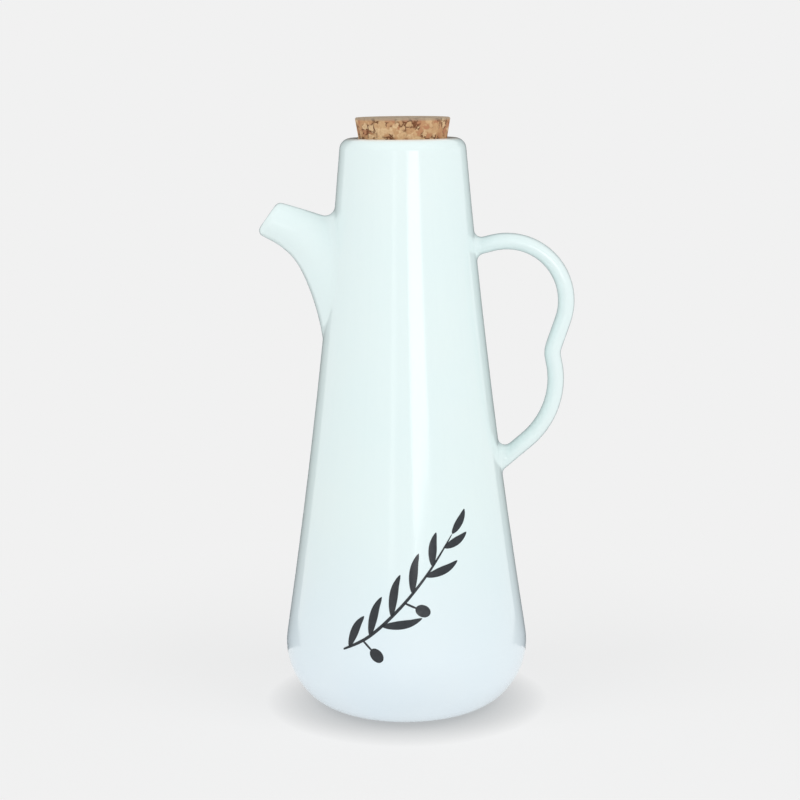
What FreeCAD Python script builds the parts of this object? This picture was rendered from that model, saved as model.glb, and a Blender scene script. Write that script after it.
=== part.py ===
import FreeCAD, Part
import math
import os
import Sketcher

# A glazed stoneware oil jug: a tall hollow body with a swollen foot, a horn spout on the left (-X),
# a waisted loop handle on the right (+X) and a tapered cork in the mouth.
# The body, the spout and the handle are cast as one piece, so they are one solid.
# The origin is on the body's axis, on the surface that the foot ring stands on. +Z is up.

# Driving dimensions, in millimetres. A lean, turn, rise, tail or taper is in degrees.
SIZES = {
    # body
    "jug_height": 230.0,
    "belly_radius": 49.2,
    "belly_height": 25.5,
    "foot_radius": 27.0,
    "foot_ring_width": 5.0,
    "recess_depth": 1.5,
    "flank_curve": 2940.0,
    "wall": 4.0,
    "floor_thickness": 4.0,
    # rim and mouth
    "rim_width": 7.4,
    "rim_round": 4.4,
    "land_height": 7.0,
    "lip_round": 1.4,
    # cork
    "cork_radius": 17.45,
    "cork_taper": 9.6,
    "cork_proud": 8.0,
    "cork_depth": 14.0,
    "cork_bevel": 0.45,
    "cork_clearance": 0.15,
    # handle, followed from its upper root round to its lower one
    "handle_drop": 43.8,
    "handle_rise": 14.0,
    "handle_arm": 6.3,
    "handle_upper_radius": 24.0,
    "handle_lean": 19.0,
    "handle_straight": 10.8,
    "handle_waist_radius": 9.4,
    "handle_waist_turn": 14.4,
    "handle_lower_radius": 32.6,
    "handle_tail": 40.0,
    "handle_thickness": 6.5,
    "handle_width": 10.5,
    "handle_blend": 3.0,
    # spout
    "spout_wall": 3.3,
    "spout_blend": 4.0,
    "spout_lip_round": 2.6,
    "spout_bore_round": 0.8,
    # spout sections, each placed by its lowest point, the keel: how far that stands out from the
    # wall beside it and how far it is below the rim, then the section's lean and its size
    "mouth_out": 30.5,
    "mouth_below": 37.0,
    "mouth_lean": 36.0,
    "mouth_height": 14.8,
    "mouth_width": 12.5,
    "neck_out": 20.8,
    "neck_below": 42.0,
    "neck_lean": 23.0,
    "neck_height": 16.6,
    "neck_width": 13.7,
    "throat_out": 15.8,
    "throat_below": 46.0,
    "throat_lean": 34.0,
    "throat_height": 19.7,
    "throat_width": 16.2,
    "shoulder_out": 8.1,
    "shoulder_below": 57.7,
    "shoulder_lean": 60.0,
    "shoulder_height": 33.0,
    "shoulder_width": 26.5,
    "tail_out": 1.3,
    "tail_below": 75.0,
    "tail_lean": 76.0,
    "tail_height": 33.0,
    "tail_width": 26.0,
    "root_out": -3.0,
    "root_below": 92.0,
    "root_lean": 82.0,
    "root_height": 33.0,
    "root_width": 22.0,
}
SPOUT_SECTIONS = ("mouth", "neck", "throat", "shoulder", "tail", "root")

# Where the heel's arc hands over to the belly's, below the horizontal, and about how far above it
# the belly's arc and the rim's meet the flank.
HEEL_JOINT = 45.0
BELLY_END, RIM_START = 9.0, 5.0

# How much of the spout's wall the rounding of its lip may take, outside and inside.
LIP_SHARE, BORE_SHARE = 0.76, 0.2

# Closer than this, two things touch.
TOUCH = 0.005

# What a sketch constraint calls its own origin and axes, and the places on a line or an arc.
ORIGIN, VERTICAL_AXIS = range(-1, -3, -1)
START, END, CENTRE = range(1, 4)

doc = FreeCAD.newDocument("oil_jug")


def make_sheet():
    sheet = doc.addObject("Spreadsheet::Sheet", "Sizes")
    for row, (name, value) in enumerate(SIZES.items(), start=1):
        sheet.set(f"A{row}", name)
        sheet.set(f"B{row}", str(value))
        sheet.setAlias(f"B{row}", name)
    doc.recompute()


def add_sketch(body, name, role):
    """An empty sketch on one of the body's own origin planes."""
    plane = next(feature for feature in body.Origin.OriginFeatures if feature.Role == role)
    sketch = body.newObject("Sketcher::SketchObject", name)
    sketch.AttachmentSupport = [(plane, "")]
    sketch.MapMode = "FlatFace"
    return sketch


def point(x, y):
    return FreeCAD.Vector(x, y, 0)


def line(start, end):
    return Part.LineSegment(point(*start), point(*end))


def arc(centre, radius, first_degrees, last_degrees):
    circle = Part.Circle(point(*centre), FreeCAD.Vector(0, 0, 1), radius)
    return Part.ArcOfCircle(circle, math.radians(first_degrees), math.radians(last_degrees))


def on_arc(centre, radius, degrees):
    """The place on an arc that faces a direction."""
    turn = math.radians(degrees)
    return centre[0] + radius * math.cos(turn), centre[1] + radius * math.sin(turn)


def join(sketch, kind, *places):
    """A relation that has no size, such as Tangent or Vertical."""
    sketch.addConstraint(Sketcher.Constraint(kind, *places))


def size_of(sketch, expression):
    return FreeCAD.Units.Quantity(sketch.evalExpression(expression)).Value


def drive(sketch, name, expression, kind, *places):
    """A dimension that follows an expression."""
    size = size_of(sketch, expression)
    if kind == "Angle":
        size = math.radians(size)
    number = sketch.addConstraint(Sketcher.Constraint(kind, *places, size))
    sketch.renameConstraint(number, name)
    sketch.setExpression(f"Constraints.{name}", expression)


def gauge(sketch, name, kind, *places):
    """A dimension that only measures, for other features to follow."""
    number = sketch.addConstraint(Sketcher.Constraint(kind, *places, 1.0))
    sketch.setDriving(number, False)
    sketch.renameConstraint(number, name)


def flank_guess(low, high, radius):
    """A hollow arc between two points, as a start for the solver."""
    span = math.dist(low, high)
    lean = math.atan2(low[0] - high[0], high[1] - low[1])
    away = math.sqrt(radius**2 - (span / 2) ** 2)
    centre = (
        (low[0] + high[0]) / 2 + away * math.cos(lean),
        (low[1] + high[1]) / 2 + away * math.sin(lean),
    )
    half = math.degrees(math.asin(span / 2 / radius))
    facing = 180 + math.degrees(lean)
    return arc(centre, radius, facing - half, facing + half)


def mouth_radius():
    return SIZES["cork_radius"] + SIZES["cork_clearance"]


def flank_beside(below):
    """About how far out the flank is at a depth below the rim, as a start for the solver."""
    rim = mouth_radius() + SIZES["rim_width"]
    share = below / (SIZES["jug_height"] - SIZES["belly_height"])
    return rim + share * (SIZES["belly_radius"] - rim)


def heel_and_belly():
    """The radii of two tangent arcs that lead from the foot ring, level, to the belly, upright."""
    across = SIZES["belly_radius"] - SIZES["foot_radius"]
    up = SIZES["belly_height"]
    sine = math.sin(math.radians(HEEL_JOINT))
    rest = 1 - sine
    spread = sine**2 - rest**2
    return (sine * across - rest * up) / spread, (sine * up - rest * across) / spread


def draw_outline(body):
    """Half of the outside: foot ring, heel, belly, hollow flank and rounded rim."""
    height, belly, waist = SIZES["jug_height"], SIZES["belly_radius"], SIZES["belly_height"]
    foot, recess, rim_round = SIZES["foot_radius"], SIZES["recess_depth"], SIZES["rim_round"]
    ring = foot - SIZES["foot_ring_width"]
    rim = mouth_radius() + SIZES["rim_width"]
    heel_radius, belly_round = heel_and_belly()
    belly_centre = (belly - belly_round, waist)
    rim_centre = (rim - rim_round, height - rim_round)

    sketch = add_sketch(body, "Outline", "YZ_Plane")
    base, heel, swell, flank, rim_arc, top, axis, ceiling, bank = range(9)
    sketch.addGeometry(
        [
            line((ring, 0), (foot, 0)),
            arc((foot, heel_radius), heel_radius, -90, -HEEL_JOINT),
            arc(belly_centre, belly_round, -HEEL_JOINT, BELLY_END),
            flank_guess(
                on_arc(belly_centre, belly_round, BELLY_END),
                on_arc(rim_centre, rim_round, RIM_START),
                SIZES["flank_curve"],
            ),
            arc(rim_centre, rim_round, RIM_START, 90),
            line((rim - rim_round, height), (0, height)),
            line((0, height), (0, recess)),
            line((0, recess), (ring - recess, recess)),
            line((ring - recess, recess), (ring, 0)),
        ],
        False,
    )
    join(sketch, "Horizontal", base)
    join(sketch, "PointOnObject", base, START, ORIGIN)
    join(sketch, "Tangent", base, END, heel, START)
    join(sketch, "Tangent", heel, END, swell, START)
    join(sketch, "Tangent", swell, END, flank, END)
    join(sketch, "Tangent", flank, START, rim_arc, START)
    join(sketch, "Tangent", rim_arc, END, top, START)
    join(sketch, "Horizontal", top)
    join(sketch, "Coincident", top, END, axis, START)
    join(sketch, "PointOnObject", axis, START, VERTICAL_AXIS)
    join(sketch, "Vertical", axis)
    join(sketch, "Coincident", axis, END, ceiling, START)
    join(sketch, "Horizontal", ceiling)
    join(sketch, "Coincident", ceiling, END, bank, START)
    join(sketch, "Coincident", bank, END, base, START)

    spoke, widest = sketch.addGeometry(
        [
            line((foot, heel_radius), (foot + heel_radius, 0)),
            line(belly_centre, (belly, waist)),
        ],
        True,
    )
    join(sketch, "Coincident", spoke, START, heel, CENTRE)
    join(sketch, "Coincident", spoke, END, heel, END)
    join(sketch, "Coincident", widest, START, swell, CENTRE)
    join(sketch, "PointOnObject", widest, END, swell)
    join(sketch, "Horizontal", widest)

    drive(sketch, "heel_joint", f"-{HEEL_JOINT} deg", "Angle", spoke)
    drive(sketch, "jug_height", "Sizes.jug_height", "DistanceY", ORIGIN, START, axis, START)
    drive(sketch, "recess_depth", "Sizes.recess_depth", "DistanceY", ORIGIN, START, axis, END)
    drive(sketch, "bank_width", "Sizes.recess_depth", "DistanceX", bank, START, bank, END)
    drive(sketch, "foot_radius", "Sizes.foot_radius", "DistanceX", ORIGIN, START, base, END)
    drive(sketch, "foot_ring", "Sizes.foot_ring_width", "DistanceX", base, START, base, END)
    drive(sketch, "belly_radius", "Sizes.belly_radius", "DistanceX", ORIGIN, START, widest, END)
    drive(sketch, "belly_height", "Sizes.belly_height", "DistanceY", ORIGIN, START, widest, END)
    drive(sketch, "flank_curve", "Sizes.flank_curve", "Radius", flank)
    drive(sketch, "rim_round", "Sizes.rim_round", "Radius", rim_arc)
    drive(
        sketch,
        "rim_flat",
        "Sizes.cork_radius + Sizes.cork_clearance + Sizes.rim_width - Sizes.rim_round",
        "DistanceX", ORIGIN, START, rim_arc, CENTRE,
    )
    gauge(sketch, "heel_radius", "Radius", heel)
    gauge(sketch, "belly_round", "Radius", swell)
    gauge(sketch, "flank_centre_x", "DistanceX", ORIGIN, START, flank, CENTRE)
    gauge(sketch, "flank_centre_z", "DistanceY", ORIGIN, START, flank, CENTRE)

    # how far out the flank is beside each section of the spout
    for part in SPOUT_SECTIONS:
        below = f"{part}_below"
        beside = point(flank_beside(SIZES[below]), height - SIZES[below])
        mark = sketch.addGeometry(Part.Point(beside), True)
        join(sketch, "PointOnObject", mark, START, flank)
        drive(
            sketch, below, f"Sizes.jug_height - Sizes.{below}", "DistanceY", ORIGIN, START, mark, START
        )
        gauge(sketch, f"{part}_reach", "DistanceX", ORIGIN, START, mark, START)
    doc.recompute()
    return sketch


def draw_cavity(body):
    """Half of the inside: the outline set in by the wall, turned in under the rim to the cork's seat."""
    height, belly, waist = SIZES["jug_height"], SIZES["belly_radius"], SIZES["belly_height"]
    foot, wall = SIZES["foot_radius"], SIZES["wall"]
    ground = SIZES["recess_depth"] + SIZES["floor_thickness"]
    land = height - SIZES["land_height"]
    mouth = mouth_radius()
    seat = mouth - SIZES["land_height"] * math.tan(math.radians(SIZES["cork_taper"]))
    turn = mouth + SIZES["rim_width"] - wall - seat
    shoulder_centre = (seat, land - turn)
    heel_radius, belly_round = heel_and_belly()
    heel_centre, heel_inside = (foot, heel_radius), heel_radius - wall
    heel_start = -math.degrees(math.asin((heel_radius - ground) / heel_inside))
    belly_centre, belly_inside = (belly - belly_round, waist), belly_round - wall

    sketch = add_sketch(body, "Cavity", "YZ_Plane")
    ground_line, heel, swell, flank, shoulder, cone, top, axis = range(8)
    sketch.addGeometry(
        [
            line((0, ground), on_arc(heel_centre, heel_inside, heel_start)),
            arc(heel_centre, heel_inside, heel_start, -HEEL_JOINT),
            arc(belly_centre, belly_inside, -HEEL_JOINT, BELLY_END),
            flank_guess(
                on_arc(belly_centre, belly_inside, BELLY_END),
                on_arc(shoulder_centre, turn, RIM_START),
                SIZES["flank_curve"] + wall,
            ),
            arc(shoulder_centre, turn, RIM_START, 90),
            line((seat, land), (mouth, height)),
            line((mouth, height), (0, height)),
            line((0, height), (0, ground)),
        ],
        False,
    )
    join(sketch, "Horizontal", ground_line)
    join(sketch, "Coincident", ground_line, END, heel, START)
    join(sketch, "Tangent", heel, END, swell, START)
    join(sketch, "Tangent", swell, END, flank, END)
    join(sketch, "Tangent", flank, START, shoulder, START)
    join(sketch, "Coincident", shoulder, END, cone, START)
    join(sketch, "Vertical", shoulder, CENTRE, shoulder, END)
    join(sketch, "Coincident", cone, END, top, START)
    join(sketch, "Horizontal", top)
    join(sketch, "Coincident", top, END, axis, START)
    join(sketch, "PointOnObject", axis, START, VERTICAL_AXIS)
    join(sketch, "Vertical", axis)
    join(sketch, "Coincident", axis, END, ground_line, START)

    drive(
        sketch, "ground", "Sizes.recess_depth + Sizes.floor_thickness",
        "DistanceY", ORIGIN, START, axis, END,
    )
    drive(sketch, "heel_x", "Sizes.foot_radius", "DistanceX", ORIGIN, START, heel, CENTRE)
    drive(sketch, "heel_z", "Outline.Constraints.heel_radius", "DistanceY", ORIGIN, START, heel, CENTRE)
    drive(sketch, "heel_radius", "Outline.Constraints.heel_radius - Sizes.wall * 1 mm", "Radius", heel)
    drive(
        sketch, "belly_x", "Sizes.belly_radius * 1 mm - Outline.Constraints.belly_round",
        "DistanceX", ORIGIN, START, swell, CENTRE,
    )
    drive(sketch, "belly_z", "Sizes.belly_height", "DistanceY", ORIGIN, START, swell, CENTRE)
    drive(sketch, "flank_curve", "Sizes.flank_curve + Sizes.wall", "Radius", flank)
    drive(
        sketch, "flank_z", "Outline.Constraints.flank_centre_z",
        "DistanceY", ORIGIN, START, flank, CENTRE,
    )
    drive(sketch, "jug_height", "Sizes.jug_height", "DistanceY", ORIGIN, START, axis, START)
    drive(
        sketch, "mouth_radius", "Sizes.cork_radius + Sizes.cork_clearance",
        "DistanceX", ORIGIN, START, cone, END,
    )
    drive(sketch, "land_height", "Sizes.land_height", "DistanceY", cone, START, cone, END)
    drive(
        sketch, "land_slope", "Sizes.land_height * tan(Sizes.cork_taper * 1 deg)",
        "DistanceX", cone, START, cone, END,
    )
    doc.recompute()
    return sketch


def add_turned(body, kind, name, sketch):
    """A full turn of a sketch about the body's axis, added or cut away."""
    feature = body.newObject(kind, name)
    feature.Profile = sketch
    feature.ReferenceAxis = (sketch, ["V_Axis"])
    feature.Angle = 360.0
    doc.recompute()
    return feature


def draw_oval(body, name, x, z, lean, high, wide, centre=None):
    """An ellipse in a plane that leans about Y, on its own origin or higher by centre.
    Each place and size is an expression."""
    sketch = add_sketch(body, name, "YZ_Plane")
    # the offset keeps the axis of this first turn when its angle is driven
    first_turn = FreeCAD.Rotation(FreeCAD.Vector(1, 0, 0), SIZES["handle_rise"])
    sketch.AttachmentOffset = FreeCAD.Placement(FreeCAD.Vector(), first_turn)
    sketch.setExpression("AttachmentOffset.Base.y", z)
    sketch.setExpression("AttachmentOffset.Base.z", x)
    sketch.setExpression("AttachmentOffset.Rotation.Angle", lean)
    half_high, half_wide = size_of(sketch, high) / 2, size_of(sketch, wide) / 2
    middle = 0.0 if centre is None else size_of(sketch, centre)
    upright = half_high >= half_wide
    ends = [point(0, middle + half_high), point(half_wide, middle)]
    if not upright:
        ends.reverse()
    oval = sketch.addGeometry(Part.Ellipse(*ends, point(0, middle)), False)
    sketch.exposeInternalGeometry(oval)
    long_axis, short_axis = oval + 1, oval + 2
    join(sketch, "Vertical" if upright else "Horizontal", long_axis)
    if centre is None:
        join(sketch, "Coincident", oval, CENTRE, ORIGIN, START)
    else:
        join(sketch, "PointOnObject", oval, CENTRE, VERTICAL_AXIS)
        drive(sketch, "centre", centre, "DistanceY", ORIGIN, START, oval, CENTRE)
    drive(sketch, "high", high, "Distance", long_axis if upright else short_axis)
    drive(sketch, "wide", wide, "Distance", short_axis if upright else long_axis)
    return sketch


def spout_sections(body, suffix, inset):
    """The spout's sections from mouth to root, each set in by a wall."""
    sections = []
    for part in SPOUT_SECTIONS:
        sections.append(
            draw_oval(
                body,
                part.capitalize() + suffix,
                x=f"-(Outline.Constraints.{part}_reach + Sizes.{part}_out * 1 mm)",
                z=f"Sizes.jug_height - Sizes.{part}_below",
                lean=f"Sizes.{part}_lean",
                centre=f"Sizes.{part}_height / 2",
                high=f"Sizes.{part}_height - 2 * {inset}",
                wide=f"Sizes.{part}_width - 2 * {inset}",
            )
        )
    return sections


def add_loft(body, kind, name, sections):
    loft = body.newObject(kind, name)
    loft.Profile = sections[0]
    loft.Sections = sections[1:]
    loft.Ruled = False
    doc.recompute()
    return loft


def draw_handle_path(body):
    """The handle's centre line, from the middle of the wall round both lobes and back to it."""
    rise, lean, turn, tail = (
        SIZES["handle_rise"],
        SIZES["handle_lean"],
        SIZES["handle_waist_turn"],
        SIZES["handle_tail"],
    )
    # each run as a length, and each bend as a radius and the way that it turns; the last run's
    # length is only a start for the solver
    walk = [
        (SIZES["handle_arm"], None),
        (SIZES["handle_upper_radius"], -(90 + lean + rise)),
        (SIZES["handle_straight"], None),
        (SIZES["handle_waist_radius"], lean + turn),
        (SIZES["handle_lower_radius"], -(90 + turn - tail)),
        (SIZES["handle_straight"], None),
    ]
    x = flank_beside(SIZES["handle_drop"]) - SIZES["wall"] / 2
    z, heading = SIZES["jug_height"] - SIZES["handle_drop"], rise
    pieces = []
    centres = []
    for size, bend in walk:
        along = (math.cos(math.radians(heading)), math.sin(math.radians(heading)))
        if bend is None:
            pieces.append(line((x, z), (x + size * along[0], z + size * along[1])))
            x, z = x + size * along[0], z + size * along[1]
            continue
        side = math.copysign(1, bend)
        centre = (x - side * size * along[1], z + side * size * along[0])
        first = heading - side * 90
        last = first + bend
        pieces.append(arc(centre, size, min(first, last), max(first, last)))
        centres.append(centre)
        x, z = on_arc(centre, size, last)
        heading += bend
    waist_centre, lower_centre = centres[1:]

    sketch = add_sketch(body, "HandlePath", "XZ_Plane")
    arm, upper, straight, waist, lower, tail_run = range(6)
    sketch.addGeometry(pieces, False)
    join(sketch, "Tangent", arm, END, upper, END)
    join(sketch, "Tangent", upper, START, straight, START)
    join(sketch, "Tangent", straight, END, waist, START)
    join(sketch, "Tangent", waist, END, lower, END)
    join(sketch, "Tangent", lower, START, tail_run, START)

    # the middle of the wall, and a line between the waist's centre and the lower lobe's
    flank_low = (SIZES["belly_radius"], SIZES["belly_height"])
    flank_high = (mouth_radius() + SIZES["rim_width"], SIZES["jug_height"])
    mid_wall, waist_spoke = sketch.addGeometry(
        [
            flank_guess(flank_low, flank_high, SIZES["flank_curve"]).Circle,
            line(lower_centre, waist_centre),
        ],
        True,
    )
    drive(sketch, "mid_wall", "Sizes.flank_curve + Sizes.wall / 2", "Radius", mid_wall)
    drive(
        sketch, "flank_x", "Outline.Constraints.flank_centre_x",
        "DistanceX", ORIGIN, START, mid_wall, CENTRE,
    )
    drive(
        sketch, "flank_z", "Outline.Constraints.flank_centre_z",
        "DistanceY", ORIGIN, START, mid_wall, CENTRE,
    )
    join(sketch, "PointOnObject", arm, START, mid_wall)
    join(sketch, "PointOnObject", tail_run, END, mid_wall)
    join(sketch, "Coincident", waist_spoke, START, lower, CENTRE)
    join(sketch, "Coincident", waist_spoke, END, waist, CENTRE)
    drive(
        sketch, "root_height", "Sizes.jug_height - Sizes.handle_drop",
        "DistanceY", ORIGIN, START, arm, START,
    )
    drive(sketch, "rise", "Sizes.handle_rise * 1 deg", "Angle", arm)
    drive(sketch, "arm", "Sizes.handle_arm + Sizes.wall / 2", "DistanceX", arm, START, arm, END)
    drive(sketch, "upper_radius", "Sizes.handle_upper_radius", "Radius", upper)
    drive(sketch, "lean", "(-90 - Sizes.handle_lean) * 1 deg", "Angle", straight)
    drive(sketch, "straight", "Sizes.handle_straight", "Distance", straight)
    drive(sketch, "waist_radius", "Sizes.handle_waist_radius", "Radius", waist)
    drive(sketch, "waist_turn", "Sizes.handle_waist_turn * 1 deg", "Angle", waist_spoke)
    drive(sketch, "lower_radius", "Sizes.handle_lower_radius", "Radius", lower)
    drive(sketch, "tail", "(Sizes.handle_tail - 180) * 1 deg", "Angle", tail_run)
    gauge(sketch, "root_x", "DistanceX", ORIGIN, START, arm, START)
    doc.recompute()
    return sketch


def add_handle(body):
    path = draw_handle_path(body)
    section = draw_oval(
        body,
        "HandleSection",
        x="HandlePath.Constraints.root_x",
        z="Sizes.jug_height - Sizes.handle_drop",
        lean="-Sizes.handle_rise",
        high="Sizes.handle_thickness",
        wide="Sizes.handle_width",
    )
    handle = body.newObject("PartDesign::AdditivePipe", "Handle")
    handle.Profile = section
    handle.Spine = path
    doc.recompute()
    return handle


def edges_between(feature, before):
    """The edges where a feature meets the surface that it was added to."""
    skin = Part.Compound(before.Shape.Faces)
    old_edges = Part.Compound(before.Shape.Edges)
    names = []
    for number, edge in enumerate(feature.Shape.Edges, start=1):
        middle = Part.Vertex(edge.valueAt((edge.FirstParameter + edge.LastParameter) / 2))
        on_skin = middle.distToShape(skin)[0] < TOUCH
        if on_skin and middle.distToShape(old_edges)[0] > TOUCH:
            names.append(f"Edge{number}")
    return names


def add_fillet(body, name, feature, edges, radius):
    fillet = body.newObject("PartDesign::Fillet", name)
    fillet.Base = (feature, edges)
    fillet.setExpression("Radius", radius)
    doc.recompute()
    return fillet


def rim_edges(feature, plane):
    """The edges that lie wholly in a plane, the outer one first."""
    flat = plane.inverse()
    found = []
    for number, edge in enumerate(feature.Shape.Edges, start=1):
        stations = (edge.FirstParameter, (edge.FirstParameter + edge.LastParameter) / 2)
        if all(abs(flat.multVec(edge.valueAt(station)).z) < TOUCH for station in stations):
            found.append((edge.Length, f"Edge{number}"))
    return [name for length, name in sorted(found, reverse=True)]


def make_jug():
    body = doc.addObject("PartDesign::Body", "Jug")
    body.Label = "jug"
    form = add_turned(body, "PartDesign::Revolution", "Form", draw_outline(body))

    outer = spout_sections(body, "Section", "0")
    spout = add_loft(body, "PartDesign::AdditiveLoft", "Spout", outer)
    junction = edges_between(spout, form)
    spout_blend = add_fillet(body, "SpoutBlend", spout, junction, "Sizes.spout_blend")

    handle = add_handle(body)
    junction = edges_between(handle, spout_blend)
    add_fillet(body, "HandleBlend", handle, junction, "Sizes.handle_blend")

    add_turned(body, "PartDesign::Groove", "Hollow", draw_cavity(body))
    inner = spout_sections(body, "Channel", "Sizes.spout_wall")
    channel = add_loft(body, "PartDesign::SubtractiveLoft", "Channel", inner)

    # the spout's lip is rounded more outside than inside, and the mouth's inner edge is softened
    lip_plane = inner[0].Placement
    lip_limit = f"{LIP_SHARE} * Sizes.spout_wall"
    bore_limit = f"{BORE_SHARE} * Sizes.spout_wall"
    outer_edge = rim_edges(channel, lip_plane)[:1]
    lip = add_fillet(body, "SpoutLip", channel, outer_edge, f"min(Sizes.spout_lip_round; {lip_limit})")
    inner_edge = rim_edges(lip, lip_plane)[-1:]
    bore = add_fillet(body, "SpoutBore", lip, inner_edge, f"min(Sizes.spout_bore_round; {bore_limit})")
    rim_plane = FreeCAD.Placement(point(0, 0), FreeCAD.Rotation())
    rim_plane.Base.z = SIZES["jug_height"]
    add_fillet(body, "MouthLip", bore, rim_edges(bore, rim_plane)[-1:], "Sizes.lip_round")
    return body


def make_cork():
    """A tapered bung, standing proud of the rim, with its cut edges broken by a small bevel."""
    body = doc.addObject("PartDesign::Body", "Cork")
    body.Label = "cork_stopper"
    sketch = add_sketch(body, "CorkProfile", "YZ_Plane")
    height, radius = SIZES["jug_height"], SIZES["cork_radius"]
    slope = math.tan(math.radians(SIZES["cork_taper"]))
    foot = (radius - SIZES["cork_depth"] * slope, height - SIZES["cork_depth"])
    head = (radius + SIZES["cork_proud"] * slope, height + SIZES["cork_proud"])
    bottom, side, top, axis, rim_line = range(5)
    sketch.addGeometry(
        [
            line((0, foot[1]), foot),
            line(foot, head),
            line(head, (0, head[1])),
            line((0, head[1]), (0, foot[1])),
        ],
        False,
    )
    sketch.addGeometry(line((0, height), (radius, height)), True)
    join(sketch, "Horizontal", bottom)
    join(sketch, "Coincident", bottom, END, side, START)
    join(sketch, "Coincident", side, END, top, START)
    join(sketch, "Horizontal", top)
    join(sketch, "Coincident", top, END, axis, START)
    join(sketch, "PointOnObject", axis, START, VERTICAL_AXIS)
    join(sketch, "Vertical", axis)
    join(sketch, "Coincident", axis, END, bottom, START)
    join(sketch, "PointOnObject", rim_line, START, VERTICAL_AXIS)
    join(sketch, "Horizontal", rim_line)
    join(sketch, "PointOnObject", rim_line, END, side)
    drive(sketch, "rim", "Sizes.jug_height", "DistanceY", ORIGIN, START, rim_line, START)
    drive(sketch, "radius", "Sizes.cork_radius", "Distance", rim_line)
    drive(sketch, "taper", "(90 - Sizes.cork_taper) * 1 deg", "Angle", side)
    drive(sketch, "proud", "Sizes.cork_proud", "DistanceY", rim_line, START, axis, START)
    drive(sketch, "depth", "Sizes.cork_depth", "DistanceY", axis, END, rim_line, START)
    doc.recompute()
    bung = add_turned(body, "PartDesign::Revolution", "Bung", sketch)
    rims = [
        f"Edge{number}"
        for number, edge in enumerate(bung.Shape.Edges, start=1)
        if isinstance(edge.Curve, Part.Circle)
    ]
    bevel = body.newObject("PartDesign::Chamfer", "CorkEdges")
    bevel.Base = (bung, rims)
    bevel.setExpression("Size", "Sizes.cork_bevel")
    doc.recompute()
    return body


make_sheet()
bodies = [make_jug(), make_cork()]
for item in doc.Objects:
    if "Invalid" in item.State or "Error" in item.State:
        raise RuntimeError(f"{item.Name}: {item.getStatusString()}")
os.makedirs("parts", exist_ok=True)
for body in bodies:
    if body.Shape.isNull() or not body.Shape.isValid():
        raise RuntimeError(f"{body.Label} has no valid shape")
    body.Shape.exportStep(f"parts/{body.Label}.step")
    print(f"{body.Label}: {body.Shape.Volume:.1f} mm3 in {len(body.Shape.Solids)} solid")
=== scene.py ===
import math

import bmesh
import bpy
from mathutils import Matrix, Vector


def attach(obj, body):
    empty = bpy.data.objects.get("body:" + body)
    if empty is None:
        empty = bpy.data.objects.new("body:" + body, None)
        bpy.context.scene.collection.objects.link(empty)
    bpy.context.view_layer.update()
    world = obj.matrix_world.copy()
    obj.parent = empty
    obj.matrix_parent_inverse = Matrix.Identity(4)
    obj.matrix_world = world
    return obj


# A white glazed oil jug with a cork stopper. +Z is up, the spout is at -X, the handle at +X and
# the front at -Y. Sizes in the dictionaries are in millimetres unless a note says otherwise.
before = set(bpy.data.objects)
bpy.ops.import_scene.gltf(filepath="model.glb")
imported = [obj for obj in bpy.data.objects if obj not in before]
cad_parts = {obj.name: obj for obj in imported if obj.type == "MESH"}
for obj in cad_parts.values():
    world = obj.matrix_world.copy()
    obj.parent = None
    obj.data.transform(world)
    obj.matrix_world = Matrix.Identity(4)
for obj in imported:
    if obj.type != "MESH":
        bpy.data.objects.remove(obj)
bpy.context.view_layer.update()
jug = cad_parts["jug"]
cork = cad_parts["cork_stopper"]
print("packed pieces loaded:", sorted(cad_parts))

mm = 0.001


def linear(code):
    # an sRGB hex colour as the linear values that the shaders take
    parts = [int(code[i:i + 2], 16) / 255 for i in (1, 3, 5)]
    return [c / 12.92 if c <= 0.04045 else ((c + 0.055) / 1.055) ** 2.4 for c in parts] + [1.0]


def addNode(material, kind, settings=None, inputs=None):
    # inputs take a plain value, or another node's output to link
    tree = material.node_tree
    node = tree.nodes.new(kind)
    for name, value in (settings or {}).items():
        setattr(node, name, value)
    for name, value in (inputs or {}).items():
        if isinstance(value, bpy.types.NodeSocket):
            tree.links.new(value, node.inputs[name])
        else:
            node.inputs[name].default_value = value
    return node


def startMaterial(name):
    material = bpy.data.materials.new(name)
    material.use_nodes = True
    material.node_tree.nodes.clear()
    return material


def seenOutright(material):
    # 1 for the rays that show a thing as it is: the camera's, a mirror's and a clear thing's
    rays = addNode(material, "ShaderNodeLightPath")
    seen = addNode(material, "ShaderNodeMath", {"operation": "MAXIMUM"},
                   {0: rays.outputs["Is Camera Ray"], 1: rays.outputs["Is Glossy Ray"]})
    seen = addNode(material, "ShaderNodeMath", {"operation": "MAXIMUM"},
                   {0: seen.outputs[0], 1: rays.outputs["Is Transmission Ray"]})
    return seen.outputs[0]


def finishPiece(bm, name, material, body):
    mesh = bpy.data.meshes.new(name)
    bm.to_mesh(mesh)
    bm.free()
    mesh.materials.append(material)
    for face in mesh.polygons:
        face.use_smooth = True
    piece = bpy.data.objects.new(name, mesh)
    bpy.context.scene.collection.objects.link(piece)
    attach(piece, body)
    return piece


# camera

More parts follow.
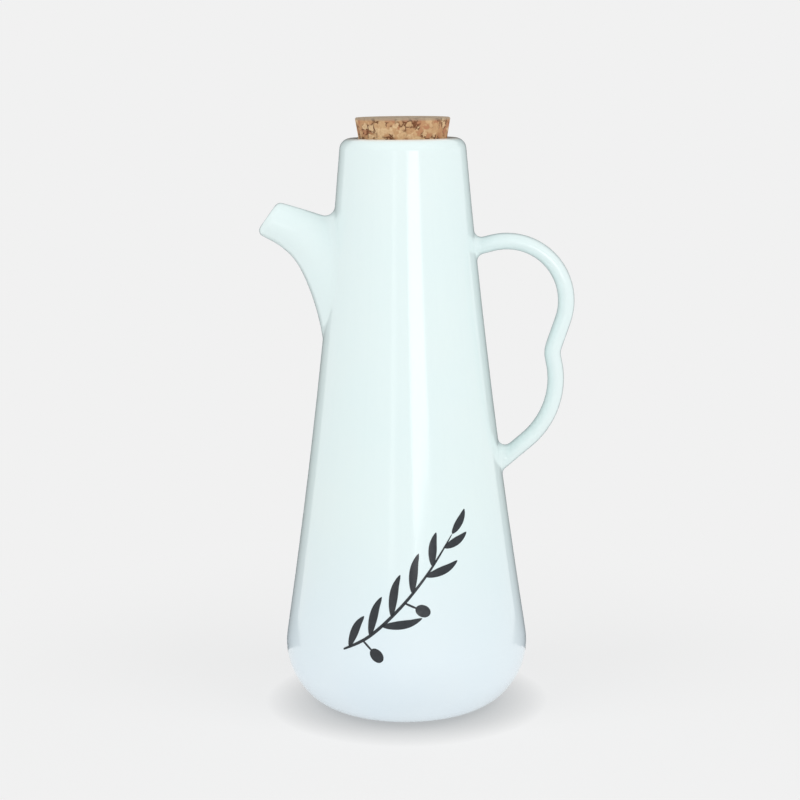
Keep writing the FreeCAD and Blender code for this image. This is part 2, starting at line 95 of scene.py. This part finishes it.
cameraFit = {
    "place": (-1.90, -750.0, 257.9),
    "pitchDown": 10.035,  # degrees
    "roll": 0.4555,       # degrees, the photograph's own tilt
    "lens": 84.99,        # on a 36 mm sensor
}
cameraData = bpy.data.cameras.new("camera")
cameraData.sensor_width = 36.0
cameraData.lens = cameraFit["lens"]
cameraData.clip_start, cameraData.clip_end = 0.01, 20.0
camera = bpy.data.objects.new("camera", cameraData)
bpy.context.scene.collection.objects.link(camera)
camera.matrix_world = (
    Matrix.Translation(Vector(cameraFit["place"]) * mm)
    @ Matrix.Rotation(math.radians(90 - cameraFit["pitchDown"]), 4, "X")
    @ Matrix.Rotation(math.radians(-cameraFit["roll"]), 4, "Z")
)
bpy.context.scene.camera = camera
bpy.context.scene.view_settings.view_transform = "Standard"
print("camera placed")


# floor and background

studio = {
    "paleGrey": "#F1F1F1",
    "domeLight": 0.60,         # strength of the white dome that lights the object
    "bounce": 0.94,            # how bright the sweep is to what stands on it
    "floorRadius": 4000.0,
    "floorShare": 0.26,        # share of the floor's paleness that the light and the shadow act on
    "floorLit": 0.93,          # how much light falls on the open floor, where 1 shows it as written
    "paintedShadowReach": 17.0,      # how far the painted shadow under the foot reaches
    "paintedShadowLeast": 0.42,      # the light that is left in the painted shadow where the foot meets the floor
    "floorFade": (90.0, 260.0),  # from the foot's shade out to plain paper
    "lampTarget": 60.0,        # height on the jug that the unmirrored lamps point at
}


def paintFloor():
    material = startMaterial("paperSweep")  # a roll of matt white paper: no gloss, and a soft contact shadow that is partly real on its lit share and partly painted into its glow
    pale = linear(studio["paleGrey"])
    place = addNode(material, "ShaderNodeTexCoord")
    fromJug = addNode(material, "ShaderNodeVectorMath", {"operation": "LENGTH"},
                      {0: place.outputs["Object"]})
    near, far = studio["floorFade"]
    fade = addNode(material, "ShaderNodeMapRange", {"interpolation_type": "SMOOTHSTEP"},
                   {"Value": fromJug.outputs["Value"], "From Min": near * mm, "From Max": far * mm})
    share = studio["floorShare"]
    paper = addNode(material, "ShaderNodeBsdfDiffuse", None, {"Color": [share, share, share, 1.0]})
    # painted shadow: an ambient-occlusion node dims the floor's glow near the foot
    paintedShadowAO = addNode(material, "ShaderNodeAmbientOcclusion", {"samples": 16},
                      {"Distance": studio["paintedShadowReach"] * mm})
    paintedShadowDim = addNode(material, "ShaderNodeMapRange", None,
                  {"Value": paintedShadowAO.outputs["AO"], "To Min": studio["paintedShadowLeast"]})
    fromLight = share * studio["floorLit"]
    rest = addNode(material, "ShaderNodeEmission", None,
                   {"Color": [pale[0] - fromLight, pale[1] - fromLight, pale[2] - fromLight, 1.0],
                    "Strength": paintedShadowDim.outputs["Result"]})
    nearJug = addNode(material, "ShaderNodeAddShader", None, {0: paper.outputs[0], 1: rest.outputs[0]})
    farOff = addNode(material, "ShaderNodeEmission", None, {"Color": pale, "Strength": 1.0})
    shown = addNode(material, "ShaderNodeMixShader", None,
                    {0: fade.outputs["Result"], 1: nearJug.outputs[0], 2: farOff.outputs[0]})
    bounce = addNode(material, "ShaderNodeEmission", None,
                     {"Color": [1.0, 1.0, 1.0, 1.0], "Strength": studio["bounce"]})
    both = addNode(material, "ShaderNodeMixShader", None,
                   {0: seenOutright(material), 1: bounce.outputs[0], 2: shown.outputs[0]})
    addNode(material, "ShaderNodeOutputMaterial", None, {"Surface": both.outputs[0]})
    return material


def layFloor():
    bm = bmesh.new()
    bmesh.ops.create_circle(bm, cap_ends=True, segments=96, radius=studio["floorRadius"] * mm)
    mesh = bpy.data.meshes.new("floor")
    bm.to_mesh(mesh)
    bm.free()
    mesh.materials.append(paintFloor())
    floor = bpy.data.objects.new("floor", mesh)
    bpy.context.scene.collection.objects.link(floor)


def hangWorld():
    world = bpy.data.worlds.new("paleStudio")
    bpy.context.scene.world = world
    world.use_nodes = True
    world.node_tree.nodes.clear()
    dome = addNode(world, "ShaderNodeBackground", None,
                   {"Color": [1.0, 1.0, 1.0, 1.0], "Strength": studio["domeLight"]})
    backdrop = addNode(world, "ShaderNodeBackground", None,
                       {"Color": linear(studio["paleGrey"]), "Strength": 1.0})
    both = addNode(world, "ShaderNodeMixShader", None,
                   {0: seenOutright(world), 1: dome.outputs[0], 2: backdrop.outputs[0]})
    addNode(world, "ShaderNodeOutputWorld", None, {"Surface": both.outputs[0]})


layFloor()
hangWorld()
print("floor and background made")


# lamps and cards, each placed round the jug: degrees to the right of the camera, then how far off
# and how high

lamps = {
    "windowRight": {"around": 18.0, "distance": 1200.0, "height": 275.0, "wide": 430.0, "high": 290.0,
                    "lean": 8.0, "radiance": 3.4, "mirrored": True},
    "stripLeft": {"around": -15.0, "distance": 1200.0, "height": 255.0, "wide": 150.0, "high": 330.0,
                  "lean": 0.0, "radiance": 0.9, "mirrored": True},
    "softLeft": {"around": -58.0, "distance": 1060.0, "height": 1100.0, "wide": 800.0, "high": 800.0,
                 "lean": 0.0, "radiance": 2.3, "mirrored": False},
    "softRight": {"around": 58.0, "distance": 1060.0, "height": 1100.0, "wide": 800.0, "high": 800.0,
                  "lean": 0.0, "radiance": 2.4, "mirrored": False},
}
cards = {
    "cardUnder": {"around": 180.0, "distance": 96.0, "height": 1.0, "wide": 400.0, "high": 78.0,
                  "lean": 0.0, "flat": True, "cloth": "#1C2024"},
    "cardBehind": {"around": 180.0, "distance": 135.0, "height": 150.0, "wide": 400.0, "high": 330.0,
                   "lean": 0.0, "cloth": "#1C2024"},
    "cardLeft": {"around": -142.0, "distance": 700.0, "height": 250.0, "wide": 240.0, "high": 800.0,
                 "lean": 0.0, "cloth": "#8E9498"},
}


def aroundJug(setting):
    turn = math.radians(setting["around"])
    away = setting["distance"] * mm
    return Vector((math.sin(turn) * away, -math.cos(turn) * away, setting["height"] * mm))


def aimAtJug(thing, setting, target):
    place = aroundJug(setting)
    turn = (Vector((0.0, 0.0, target * mm)) - place).to_track_quat("-Z", "Y").to_matrix().to_4x4()
    lean = Matrix.Rotation(math.radians(setting["lean"]), 4, "Z")
    thing.matrix_world = Matrix.Translation(place) @ turn @ lean


def hangLamp(name, setting):
    data = bpy.data.lights.new(name, "AREA")
    data.shape = "RECTANGLE"
    data.size = setting["wide"] * mm
    data.size_y = setting["high"] * mm
    # watts from radiance, so that a lamp can be resized without changing how its reflection looks
    data.energy = setting["radiance"] * math.pi * data.size * data.size_y
    lamp = bpy.data.objects.new(name, data)
    bpy.context.scene.collection.objects.link(lamp)
    aimAtJug(lamp, setting, setting["height"] if setting["mirrored"] else studio["lampTarget"])
    lamp.visible_camera = False
    lamp.visible_glossy = setting["mirrored"]


def standCard(name, setting):
    # only reflections see it: a card behind or beside the jug, or flat on the floor behind it, that
    # draws the outline of a glossy white thing
    cloth = startMaterial(name + "Cloth")
    dull = addNode(cloth, "ShaderNodeEmission", None, {"Color": linear(setting["cloth"]), "Strength": 1.0})
    addNode(cloth, "ShaderNodeOutputMaterial", None, {"Surface": dull.outputs[0]})
    bm = bmesh.new()
    bmesh.ops.create_grid(bm, x_segments=1, y_segments=1, size=0.5)
    bmesh.ops.scale(bm, vec=(setting["wide"] * mm, setting["high"] * mm, 1.0), verts=bm.verts)
    mesh = bpy.data.meshes.new(name)
    bm.to_mesh(mesh)
    bm.free()
    mesh.materials.append(cloth)
    card = bpy.data.objects.new(name, mesh)
    bpy.context.scene.collection.objects.link(card)
    if setting.get("flat"):
        card.matrix_world = Matrix.Translation(aroundJug(setting))
    else:
        aimAtJug(card, setting, setting["height"])
    card.visible_camera = False
    card.visible_diffuse = False
    card.visible_shadow = False


def hangLights():
    for name, setting in lamps.items():
        hangLamp(name, setting)
    for name, setting in cards.items():
        standCard(name, setting)


hangLights()
print("lamps and cards placed")


# glaze

glaze = {
    "white": "#E5F5F5",        # cool white with a breath of green
    "lowBlue": "#E3F0F8",        # bluer low on the belly
    "thin": "#FAF8F1",         # warm where it runs off the rim
    "clay": "#D9D2C4",         # bare biscuit under the foot
    "speck": "#6E6458",        # iron in the clay, burnt through the glaze
    "roughness": 0.11,
    "peelSize": 14.0,          # the slow waviness of a sprayed glaze
    "peelDepth": 0.04,
    "lowBlueTop": 95.0,           # height where the bluer tone begins
    "lowBlueFull": 5.0,           # height where it is full
    "driftSize": 45.0,         # slow clouds of a warmer white
    "driftMost": 0.10,
    "rimFrom": 229.1,          # height where the rim's warm line begins
    "rimFull": 230.3,          # height where it is full
    "footBare": 0.9,           # the ring is wiped clean this far up
    "footRing": 28.0,          # radius that the bare clay keeps within
    "speckSpacing": 34.0,
    "speckRadius": 0.35,
    "speckLeave": 0.84,        # share of the cells that stay without one
    "gritSize": 0.6,
    "gritDepth": 0.1,
    "clayRoughness": 0.85,
}


def glazeJug():
    # glossy white earthenware glaze, sprayed on a slip-cast body: a clear, mirror-like skin over white
    # with hard reflections, soft waves in it, and matt clay where the foot is wiped before firing
    material = startMaterial("sprayedWhiteGlaze")
    place = addNode(material, "ShaderNodeTexCoord")
    axes = addNode(material, "ShaderNodeSeparateXYZ", None, {0: place.outputs["Object"]})
    height = axes.outputs["Z"]

    lowBlueShare = addNode(material, "ShaderNodeMapRange", {"interpolation_type": "SMOOTHSTEP"},
                   {"Value": height, "From Min": glaze["lowBlueTop"] * mm, "From Max": glaze["lowBlueFull"] * mm})
    drift = addNode(material, "ShaderNodeTexNoise", None,
                    {"Vector": place.outputs["Object"],
                     "Scale": 1 / (glaze["driftSize"] * mm), "Detail": 3.0})
    tone = addNode(material, "ShaderNodeMix", {"data_type": "RGBA"},
                   {"Factor": lowBlueShare.outputs["Result"], "A": linear(glaze["white"]),
                    "B": linear(glaze["lowBlue"])})
    driftShare = addNode(material, "ShaderNodeMapRange", None,
                         {"Value": drift.outputs["Fac"], "From Min": 0.35, "From Max": 0.65,
                          "To Max": glaze["driftMost"]})
    tone = addNode(material, "ShaderNodeMix", {"data_type": "RGBA"},
                   {"Factor": driftShare.outputs["Result"], "A": tone.outputs["Result"],
                    "B": linear(glaze["thin"])})
    rimShare = addNode(material, "ShaderNodeMapRange", {"interpolation_type": "SMOOTHSTEP"},
                       {"Value": height, "From Min": glaze["rimFrom"] * mm,
                        "From Max": glaze["rimFull"] * mm})
    tone = addNode(material, "ShaderNodeMix", {"data_type": "RGBA"},
                   {"Factor": rimShare.outputs["Result"], "A": tone.outputs["Result"],
                    "B": linear(glaze["thin"])})

    # a few iron specks, in about one cell of six
    cells = addNode(material, "ShaderNodeTexVoronoi", None,
                    {"Vector": place.outputs["Object"], "Scale": 1 / (glaze["speckSpacing"] * mm)})
    dot = addNode(material, "ShaderNodeMath", {"operation": "LESS_THAN"},
                  {0: cells.outputs["Distance"], 1: glaze["speckRadius"] / glaze["speckSpacing"]})
    cellRed = addNode(material, "ShaderNodeSeparateColor", None, {0: cells.outputs["Color"]})
    chosen = addNode(material, "ShaderNodeMath", {"operation": "GREATER_THAN"},
                     {0: cellRed.outputs[0], 1: glaze["speckLeave"]})
    speck = addNode(material, "ShaderNodeMath", {"operation": "MULTIPLY"},
                    {0: dot.outputs[0], 1: chosen.outputs[0]})
    tone = addNode(material, "ShaderNodeMix", {"data_type": "RGBA"},
                   {"Factor": speck.outputs[0], "A": tone.outputs["Result"], "B": linear(glaze["speck"])})

    peel = addNode(material, "ShaderNodeTexNoise", None,
                   {"Vector": place.outputs["Object"], "Scale": 1 / (glaze["peelSize"] * mm), "Detail": 1.0})
    wave = addNode(material, "ShaderNodeBump", None,
                   {"Height": peel.outputs["Fac"], "Strength": 1.0, "Distance": glaze["peelDepth"] * mm})
    skin = addNode(material, "ShaderNodeBsdfPrincipled", None,
                   {"Base Color": tone.outputs["Result"], "Roughness": glaze["roughness"], "IOR": 1.5,
                    "Normal": wave.outputs["Normal"]})

    # bare clay: within the foot ring's reach and just above the floor
    flat = addNode(material, "ShaderNodeCombineXYZ", None, {"X": axes.outputs["X"], "Y": axes.outputs["Y"]})
    fromAxis = addNode(material, "ShaderNodeVectorMath", {"operation": "LENGTH"}, {0: flat.outputs[0]})
    low = addNode(material, "ShaderNodeMath", {"operation": "LESS_THAN"},
                  {0: height, 1: glaze["footBare"] * mm})
    inside = addNode(material, "ShaderNodeMath", {"operation": "LESS_THAN"},
                     {0: fromAxis.outputs["Value"], 1: glaze["footRing"] * mm})
    bare = addNode(material, "ShaderNodeMath", {"operation": "MULTIPLY"},
                   {0: low.outputs[0], 1: inside.outputs[0]})
    grit = addNode(material, "ShaderNodeTexNoise", None,
                   {"Vector": place.outputs["Object"], "Scale": 1 / (glaze["gritSize"] * mm), "Detail": 4.0})
    grain = addNode(material, "ShaderNodeBump", None,
                    {"Height": grit.outputs["Fac"], "Distance": glaze["gritDepth"] * mm})
    clay = addNode(material, "ShaderNodeBsdfPrincipled", None,
                   {"Base Color": linear(glaze["clay"]), "Roughness": glaze["clayRoughness"],
                    "Normal": grain.outputs["Normal"]})
    whole = addNode(material, "ShaderNodeMixShader", None,
                    {0: bare.outputs[0], 1: skin.outputs[0], 2: clay.outputs[0]})
    addNode(material, "ShaderNodeOutputMaterial", None, {"Surface": whole.outputs[0]})
    return material


jug.data.materials[0] = glazeJug()
print("jug glazed")


# cork

corkFinish = {
    "granule": 2.6,            # granules of ground bark, pressed with a binder
    "bendSize": 1.8,           # how the granules' outlines wander, and how far
    "bendReach": 3.2,
    "grainSize": 0.8,          # the bark's own grain
    "patchSize": 3.4,          # the places where seams show
    "reliefDepth": 0.3,
    "lightTan": "#DDBE94",
    "midTan": "#C9A277",
    "redTan": "#B98461",
    "seam": "#75482C",
    "topGrey": "#A99C88",      # the end face is greyer
    "topFrom": 236.8,          # height where the grey of the end face begins, and where it is full
    "topFull": 237.6,
}


def finishCork():
    # agglomerated cork, pressed from bark granules and ground to a taper: matt, a cloudy mix of tans
    # with short dark squiggles where granules part, and a greyer end face
    material = startMaterial("pressedCork")
    place = addNode(material, "ShaderNodeTexCoord")
    bend = addNode(material, "ShaderNodeTexNoise", None,
                   {"Vector": place.outputs["Object"],
                    "Scale": 1 / (corkFinish["bendSize"] * mm), "Detail": 4.0})
    shift = addNode(material, "ShaderNodeVectorMath", {"operation": "SCALE"},
                    {0: bend.outputs["Color"], "Scale": corkFinish["bendReach"] * mm})
    bent = addNode(material, "ShaderNodeVectorMath", {"operation": "ADD"},
                   {0: place.outputs["Object"], 1: shift.outputs[0]})
    granules = addNode(material, "ShaderNodeTexVoronoi", {"feature": "SMOOTH_F1"},
                       {"Vector": bent.outputs[0], "Scale": 1 / (corkFinish["granule"] * mm),
                        "Smoothness": 0.35})
    shade = addNode(material, "ShaderNodeSeparateColor", None, {0: granules.outputs["Color"]})
    tans = addNode(material, "ShaderNodeValToRGB", None, {"Fac": shade.outputs[0]})
    tans.color_ramp.elements.new(0.5)
    for element, (stop, code) in zip(tans.color_ramp.elements,
                                     [(0.15, "redTan"), (0.45, "midTan"), (0.8, "lightTan")]):
        element.position = stop
        element.color = linear(corkFinish[code])

    fine = addNode(material, "ShaderNodeTexNoise", None,
                   {"Vector": place.outputs["Object"],
                    "Scale": 1 / (corkFinish["grainSize"] * mm), "Detail": 5.0})
    fineShare = addNode(material, "ShaderNodeMapRange", None,
                        {"Value": fine.outputs["Fac"], "From Min": 0.45, "From Max": 0.72, "To Max": 0.55})
    tone = addNode(material, "ShaderNodeMix", {"data_type": "RGBA"},
                   {"Factor": fineShare.outputs["Result"], "A": tans.outputs["Color"],
                    "B": linear(corkFinish["redTan"])})

    # seams show only in places, as short squiggles
    edges = addNode(material, "ShaderNodeTexVoronoi", {"feature": "DISTANCE_TO_EDGE"},
                    {"Vector": bent.outputs[0], "Scale": 1 / (corkFinish["granule"] * mm)})
    gap = addNode(material, "ShaderNodeMapRange", None,
                  {"Value": edges.outputs["Distance"], "From Min": 0.14, "From Max": 0.02})
    patches = addNode(material, "ShaderNodeTexNoise", None,
                      {"Vector": place.outputs["Object"],
                       "Scale": 1 / (corkFinish["patchSize"] * mm), "Detail": 2.0})
    patch = addNode(material, "ShaderNodeMapRange", None,
                    {"Value": patches.outputs["Fac"], "From Min": 0.50, "From Max": 0.60})
    seam = addNode(material, "ShaderNodeMath", {"operation": "MULTIPLY"},
                   {0: gap.outputs["Result"], 1: patch.outputs["Result"]})
    tone = addNode(material, "ShaderNodeMix", {"data_type": "RGBA"},
                   {"Factor": seam.outputs[0], "A": tone.outputs["Result"], "B": linear(corkFinish["seam"])})

    axes = addNode(material, "ShaderNodeSeparateXYZ", None, {0: place.outputs["Object"]})
    topShare = addNode(material, "ShaderNodeMapRange", None,
                       {"Value": axes.outputs["Z"], "From Min": corkFinish["topFrom"] * mm,
                        "From Max": corkFinish["topFull"] * mm, "To Max": 0.75})
    tone = addNode(material, "ShaderNodeMix", {"data_type": "RGBA"},
                   {"Factor": topShare.outputs["Result"], "A": tone.outputs["Result"],
                    "B": linear(corkFinish["topGrey"])})

    relief = addNode(material, "ShaderNodeMath", {"operation": "SUBTRACT"},
                     {0: fine.outputs["Fac"], 1: seam.outputs[0]})
    bump = addNode(material, "ShaderNodeBump", None,
                   {"Height": relief.outputs[0], "Distance": corkFinish["reliefDepth"] * mm})
    bark = addNode(material, "ShaderNodeBsdfPrincipled", None,
                   {"Base Color": tone.outputs["Result"], "Roughness": 0.85, "Specular IOR Level": 0.3,
                    "Normal": bump.outputs["Normal"]})
    addNode(material, "ShaderNodeOutputMaterial", None, {"Surface": bark.outputs[0]})
    return material


cork.data.materials[0] = finishCork()
print("cork finished")


# olive sprig, brushed on the front in black under-glaze colour

sprig = {
    "stem": [(-26.0, 34.0), (-15.0, 40.0), (-3.0, 51.0), (8.0, 64.0), (18.5, 79.0)],
    "stemWide": 1.2,
    "leafWide": 3.3,
    # where each leaf leaves the stem, from 0 to 1, its side, its length and its angle to the stem
    "leaves": [
        (0.08, 1, 14.0, 44), (0.26, 1, 16.0, 42), (0.44, 1, 16.5, 40),
        (0.62, 1, 15.5, 38), (0.80, 1, 13.0, 36), (0.36, -1, 16.0, 38),
        (0.74, -1, 14.0, 38), (0.90, -1, 11.0, 36), (1.00, -1, 10.5, 4),
    ],
    # the same for each olive, with the length of its stalk
    "olives": [(0.20, -1, 5.0, 75), (0.55, -1, 5.0, 72)],
    "oliveSize": (4.6, 6.2),
    "stalkWide": 0.8,
    "ink": "#181C21",
    "inkThin": "#2C3238",
    "dragSize": 1.5,           # streaks where the brush ran thin
    "inkRoughness": 0.16,
    "proud": 0.05,             # fired colour stands this far off the glaze
}


def along(points, share):
    # a smooth curve through the points, and its direction
    spans = len(points) - 1
    span = min(int(share * spans), spans - 1)
    t = share * spans - span
    a, b, c, d = [Vector(points[max(0, min(spans, span + k))]) for k in (-1, 0, 1, 2)]
    square = 2 * a - 5 * b + 4 * c - d
    cube = 3 * b - a - 3 * c + d
    spot = 0.5 * (2 * b + (c - a) * t + square * t ** 2 + cube * t ** 3)
    way = 0.5 * ((c - a) + 2 * square * t + 3 * cube * t ** 2)
    return spot, way.normalized()


def brushStroke(bm, points, wide, swell, point, steps=36):
    # one pull of the brush: a strip that is widest at swell and comes to a sharper end the higher
    # point is
    made = bmesh.ops.create_grid(bm, x_segments=steps, y_segments=4, size=0.5)["verts"]
    for vert in made:
        share = vert.co.x + 0.5
        spot, way = along(points, share)
        fullness = math.sin(math.pi * share ** (math.log(0.5) / math.log(swell)))
        half = 0.5 * wide * max(0.0, fullness) ** point + 0.02
        across = Vector((-way.y, way.x)) * (2 * vert.co.y * half)
        vert.co = Vector((spot.x + across.x, spot.y + across.y, 0.0))


def wrapOnJug(bm, proud):
    # the flat drawing, x along the glaze and y up, is laid round the front of the jug
    for vert in bm.verts:
        high = vert.co.y * mm
        spot = jug.ray_cast(Vector((0.0, -0.2, high)), Vector((0.0, 1.0, 0.0)))[1]
        turn = vert.co.x * mm / -spot.y
        outward = Vector((math.sin(turn), -math.cos(turn), 0.0))
        spot = jug.ray_cast(outward * 0.2 + Vector((0.0, 0.0, high)), -outward)[1]
        vert.co = spot + outward * proud * mm


def paintInk():
    # black under-glaze colour, brushed on and fired: dense and slightly glossy, a little less so than
    # the glaze beside it
    material = startMaterial("firedBlackInk")
    place = addNode(material, "ShaderNodeTexCoord")
    drag = addNode(material, "ShaderNodeTexNoise", None,
                   {"Vector": place.outputs["Object"], "Scale": 1 / (sprig["dragSize"] * mm), "Detail": 3.0})
    tone = addNode(material, "ShaderNodeMix", {"data_type": "RGBA"},
                   {"Factor": drag.outputs["Fac"], "A": linear(sprig["ink"]), "B": linear(sprig["inkThin"])})
    ink = addNode(material, "ShaderNodeBsdfPrincipled", None,
                  {"Base Color": tone.outputs["Result"], "Roughness": sprig["inkRoughness"],
                   "IOR": 1.5})
    addNode(material, "ShaderNodeOutputMaterial", None, {"Surface": ink.outputs[0]})
    return material


def paintSprig():
    bm = bmesh.new()
    brushStroke(bm, sprig["stem"], sprig["stemWide"], 0.35, 0.4, 90)
    for share, side, length, angle in sprig["leaves"]:
        foot, way = along(sprig["stem"], share)
        lean = Matrix.Rotation(math.radians(side * angle), 2) @ way
        inward = Vector((lean.y, -lean.x)) * side
        points = [foot, foot + lean * length * 0.35, foot + lean * length * 0.70 + inward * length * 0.03,
                  foot + lean * length + inward * length * 0.12]
        brushStroke(bm, points, sprig["leafWide"], 0.45, 0.85)
    for share, side, stalk, angle in sprig["olives"]:
        foot, way = along(sprig["stem"], share)
        lean = Matrix.Rotation(math.radians(side * angle), 2) @ way
        brushStroke(bm, [foot, foot + lean * stalk * 0.5, foot + lean * stalk],
                    sprig["stalkWide"], 0.5, 0.2, 12)
        wide, high = sprig["oliveSize"]
        middle = foot + lean * (stalk + high * 0.45)
        level = math.atan2(lean.y, lean.x)
        # rings of a disc, so that the fruit follows the round of the jug
        fruit = bmesh.ops.create_circle(bm, cap_ends=True, segments=40, radius=0.5)["verts"]
        face = fruit[0].link_faces[0]
        inner = bmesh.ops.inset_region(bm, faces=[face], thickness=0.22)
        centre = bmesh.ops.poke(bm, faces=[face])["verts"]
        fruit = list({vert for ringFace in inner["faces"] for vert in ringFace.verts}
                     | set(fruit) | set(centre))
        bmesh.ops.scale(bm, vec=(high, wide, 1.0), verts=fruit)
        bmesh.ops.rotate(bm, matrix=Matrix.Rotation(level, 3, "Z"), verts=fruit)
        bmesh.ops.translate(bm, vec=(middle.x, middle.y, 0.0), verts=fruit)
    wrapOnJug(bm, sprig["proud"])
    bmesh.ops.recalc_face_normals(bm, faces=bm.faces)
    piece = finishPiece(bm, "olive_sprig", paintInk(), "vessel")


paintSprig()
print("olive sprig painted")
